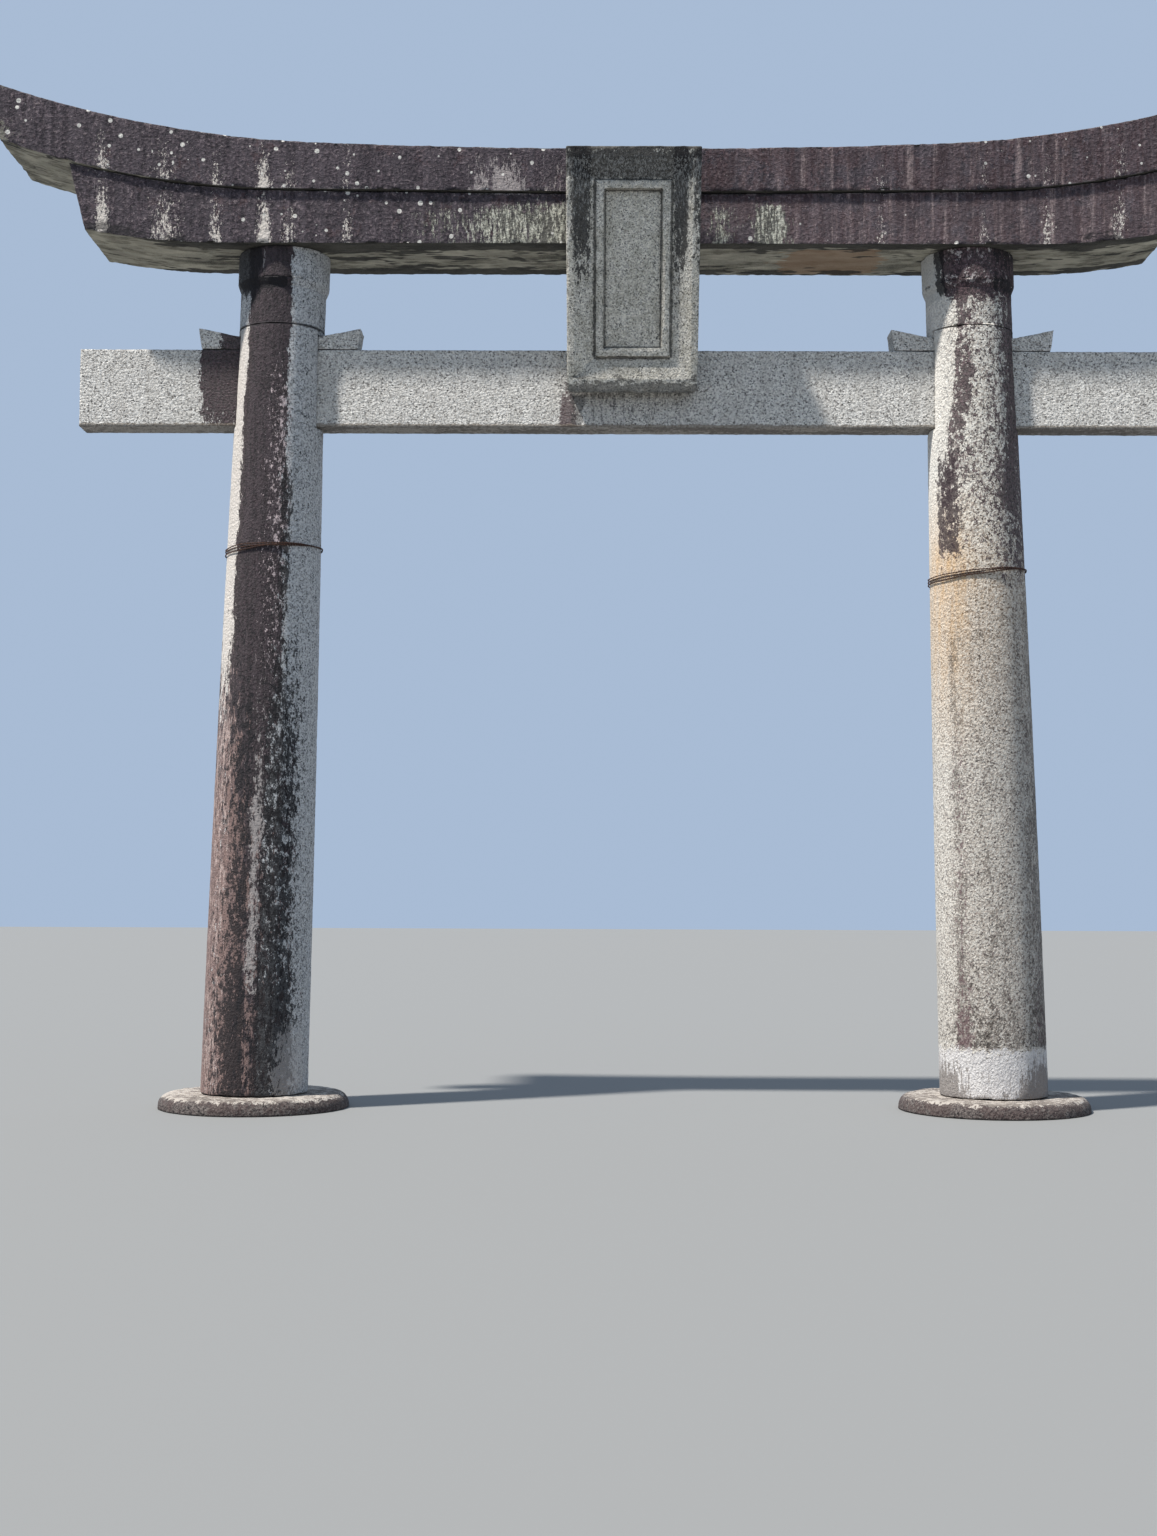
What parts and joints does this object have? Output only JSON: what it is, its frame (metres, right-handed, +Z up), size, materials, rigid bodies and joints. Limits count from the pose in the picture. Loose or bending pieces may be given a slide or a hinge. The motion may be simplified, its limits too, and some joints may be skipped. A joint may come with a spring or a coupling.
{
  "type": "stone torii gate",
  "caption": "Granite torii gate: leaning round pillars on base stones, a wedged tie beam, two curved stacked lintels and a bare tablet that leans forward.",
  "frame": {"origin": "on the ground, halfway between the two pillars", "axes": "+X along the lintels to the right as seen from the front, -Y out of the front, +Z up"},
  "size_m": [9.516, 1.4, 7.6595],
  "materials": {
    "lintel_granite": "rough tooled, dark with age",
    "tie_granite": "bush hammered, pale",
    "pillar_granite": "bush hammered, stained and lichened",
    "tablet_granite": "fine tooled, weathered",
    "base_granite": "worn and dusty",
    "iron_wire": "rusty"
  },
  "bodies": {
    "root": {"base_stone_left": "base_granite", "base_stone_right": "base_granite", "pillar_left": "pillar_granite", "pillar_right": "pillar_granite", "pillar_head_left": "pillar_granite", "pillar_head_right": "pillar_granite", "tie_beam_left_end": "tie_granite", "tie_beam_middle": "tie_granite", "tie_beam_right_end": "tie_granite", "wedge_left_outer": "tie_granite", "wedge_left_inner": "tie_granite", "wedge_right_inner": "tie_granite", "wedge_right_outer": "tie_granite", "strut": "tie_granite", "shimaki_left": "lintel_granite", "shimaki_right": "lintel_granite", "kasagi_left": "lintel_granite", "kasagi_right": "lintel_granite", "tablet": "tablet_granite", "wire_ring_left": "iron_wire", "wire_ring_right": "iron_wire"}
  },
  "joints": []
}
